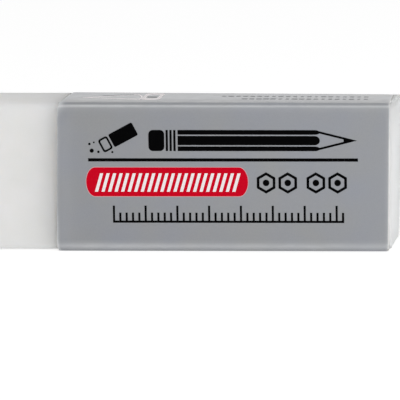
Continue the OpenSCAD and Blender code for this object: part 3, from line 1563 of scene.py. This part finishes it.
    def top_point(self) -> None:
        """Prints the faint outlined pencil point on the top panel, with one dark side."""
        length, half, nose, nose_run, end_line, side_line = 9.8, 3.4, 8.8, 0.6, 0.25, 0.6
        cap = oval_bar((nose, length, -half, half), nose_run)
        outer = [(0, 0), (nose, -half), *cap[: len(cap) // 2], (nose, half)]
        shrink, inset = 1 - side_line / half, side_line * nose / half
        inner = [(inset + a * (1 - (inset + end_line) / length), b * shrink) for a, b in outer]
        side = [(3.6, 1.75), (9.4, 3.05), (9.4, 3.65), (3.6, 2.35)]
        outer, inner, side = (placed(edge, self.point_at, self.point_tilt) for edge in (outer, inner, side))
        self.shape("print_top_outline", [band(outer, inner)], WHITE_INK, Panel.TOP)
        rim_box, hole_box, core_box = (-1.5, 1.5, -4.6, 4.6), (-0.9, 0.9, -2.7, 2.7), (-0.9, 0.8, -1.7, -0.3)
        rim_r, hole_r, core_r = 1.2, 0.7, 0.4
        edges = (rounded_box(rim_box, rim_r), rounded_box(hole_box, hole_r))
        rim = band(*(placed(edge, self.end_at) for edge in edges))
        self.shape("print_top_end", [rim], WHITE_INK, Panel.TOP)
        core = placed(rounded_box(core_box, core_r), self.end_at)
        self.shape("print_top_core", [prism(core), prism(side)], FAINT_INK, Panel.TOP)

    def top_dashes(self) -> None:
        """Prints two faint rows of short dashes on the top panel."""
        half, height, pitch, spread = 0.32, 1.1, 1.12, 0.8
        near_row, far_row = (18, (9.3, 4.3), 3), (21, (5.7, 7.9), 5)
        dash = prism([(-half, 0), (half, 0), (half, height), (-half, height)])
        for number, (count, start, seed) in enumerate((near_row, far_row), 1):
            rule = MarkRow(count, pitch, start, spread=spread, seed=seed)
            self.row(f"print_top_dashes_{number}", dash, rule, FAINT_INK, Panel.TOP)

    def build(self) -> None:
        """Prints everything."""
        front = (self.fields, self.hatching, self.pencil, self.block_mark, self.hexagons, self.ticks)
        for step in (*front, self.top_point, self.top_dashes):
            step()


# Studio


@dataclass
class AreaLight:
    """A large soft lamp, placed by its direction from the object."""

    name: str
    azimuth: float
    elevation: float
    power: float
    size: float
    distance: float = 900.0
    aim_height: float = 12.0

    def build(self) -> None:
        """Puts the lamp in the scene, aimed at the object."""
        a, e = math.radians(self.azimuth), math.radians(self.elevation)
        way = Vector((math.sin(a) * math.cos(e), -math.cos(a) * math.cos(e), math.sin(e)))
        data = bpy.data.lights.new(self.name, "AREA")
        data.shape, data.size, data.energy = "SQUARE", self.size * MM, self.power
        lamp = bpy.data.objects.new(self.name, data)
        lamp.location = way * self.distance * MM + Vector((0, 0, self.aim_height * MM))
        lamp.rotation_mode = "QUATERNION"
        lamp.rotation_quaternion = way.to_track_quat("Z", "Y")
        bpy.context.scene.collection.objects.link(lamp)


@dataclass
class ViewPoint:
    """The camera, at the photograph's viewing angle."""

    place: Place = (101.2, -856.9, 123.2)
    aim: Place = (1.79, 0.0, 7.22)
    roll_deg: float = -0.82
    lens: float = 497.3
    sensor: float = 36.0
    clip_m: Point = (0.01, 50.0)

    def build(self) -> None:
        """Puts the camera in the scene and makes it the active one."""
        place = Vector(self.place)
        ahead = (Vector(self.aim) - place).normalized()
        level = ahead.cross(Vector((0, 0, 1))).normalized()
        upright = level.cross(ahead)
        c, s = math.cos(math.radians(self.roll_deg)), math.sin(math.radians(self.roll_deg))
        right, up = c * level + s * upright, c * upright - s * level
        data = bpy.data.cameras.new("photo_camera")
        data.lens, data.sensor_width = self.lens, self.sensor
        data.clip_start, data.clip_end = self.clip_m
        camera = bpy.data.objects.new("photo_camera", data)
        turn = Matrix((right, up, -ahead)).transposed().to_4x4()
        camera.matrix_world = Matrix.Translation(place * MM) @ turn
        bpy.context.scene.collection.objects.link(camera)
        bpy.context.scene.camera = camera


@dataclass
class Studio:
    """A white table and surroundings with soft light."""

    side_light: float = 0.42
    top_light: float = 0.43
    dim_side: float = 0.12
    dim_run: Point = (-0.5, 0.1)
    table_bounce: float = 0.8
    table_fill: float = 0.25
    table_shade: float = 0.42
    table_glow: float = 0.76
    table_size: float = 6000.0
    table_drop: float = 0.03
    lamps: tuple[AreaLight, ...] = (
        AreaLight("key_lamp", 10.0, 35.0, 2.25, 620.0),
        AreaLight("side_lamp", 72.0, 15.0, 3.02, 400.0),
    )

    @staticmethod
    def seen(graph: Graph, hidden: bpy.types.Node, shown: bpy.types.Node) -> Socket:
        """Mixes two shaders by the kind of ray.

        Args:
            graph: The tree.
            hidden: The shader that lights the object.
            shown: The shader that the camera sees, also in mirrors and through glass.

        Returns:
            The mixed shader's socket.
        """
        rays = graph.add("ShaderNodeLightPath").outputs
        either = graph.calc("MAXIMUM", rays["Is Camera Ray"], rays["Is Glossy Ray"])
        seen = graph.calc("MAXIMUM", either, rays["Is Transmission Ray"])
        inputs = {0: seen, 1: hidden.outputs[0], 2: shown.outputs[0]}
        return graph.add("ShaderNodeMixShader", inputs).outputs[0]

    @staticmethod
    def plain(graph: Graph, colour: float, glow: float) -> bpy.types.Node:
        """Makes a matt white that also gives off some light.

        Args:
            graph: The tree.
            colour: Share of the light that it sends back.
            glow: Strength of its own light.

        Returns:
            The shader's node.
        """
        matt = graph.add("ShaderNodeBsdfDiffuse", {"Color": (colour, colour, colour, 1.0)})
        own = graph.add("ShaderNodeEmission", {"Color": (1.0, 1.0, 1.0, 1.0), "Strength": glow})
        return graph.add("ShaderNodeAddShader", {0: matt.outputs[0], 1: own.outputs[0]})

    def world(self) -> None:
        """Makes the surroundings: white behind the object, and a plain even light on it."""
        world = bpy.data.worlds.new("studio")
        bpy.context.scene.world = world
        world.use_nodes = True
        graph = Graph(world.node_tree)
        world.node_tree.nodes.clear()
        way = graph.split(graph.add("ShaderNodeTexCoord").outputs["Generated"])
        level = graph.span(way["Z"], (0.0, 1.0), (self.side_light, self.top_light))
        white = graph.span(way["Y"], self.dim_run, (self.dim_side, 1.0))
        light, shown = (
            graph.add("ShaderNodeBackground", {"Color": (1.0, 1.0, 1.0, 1.0), "Strength": strength})
            for strength in (level, white)
        )
        graph.add("ShaderNodeOutputWorld", {"Surface": self.seen(graph, light, shown)})

    def table(self) -> None:
        """Makes the white table, which keeps the object's shadow."""
        half, z = self.table_size / 2, -self.table_drop
        corners = np.array([(-half, -half, z), (half, -half, z), (half, half, z), (-half, half, z)])
        mesh = mesh_of("table", corners, [(0, 1, 2, 3)])
        made = bpy.data.materials.new("white_table")
        made.use_nodes = True
        graph = Graph(made.node_tree)
        made.node_tree.nodes.clear()
        bounce = self.plain(graph, self.table_bounce, self.table_fill)
        shown = self.plain(graph, self.table_shade, self.table_glow)
        graph.add("ShaderNodeOutputMaterial", {"Surface": self.seen(graph, bounce, shown)})
        mesh.materials.append(made)
        table = bpy.data.objects.new("table", mesh)
        bpy.context.scene.collection.objects.link(table)

    def build(self) -> None:
        """Sets the surroundings, the table and the lamps."""
        bpy.context.scene.view_settings.view_transform = "Standard"
        self.world()
        self.table()
        for lamp in self.lamps:
            lamp.build()


def main() -> None:
    """Builds the camera, the studio, the block, the sleeve and its print."""
    logging.basicConfig(level=logging.INFO, format="%(name)s: %(message)s")
    ViewPoint().build()
    Studio().build()
    sleeve = CardSleeve.from_frame()
    VinylBlock.from_frame().build(sleeve)
    sleeve.build()
    SleevePrint(sleeve).build()


if __name__ == "__main__":
    main()
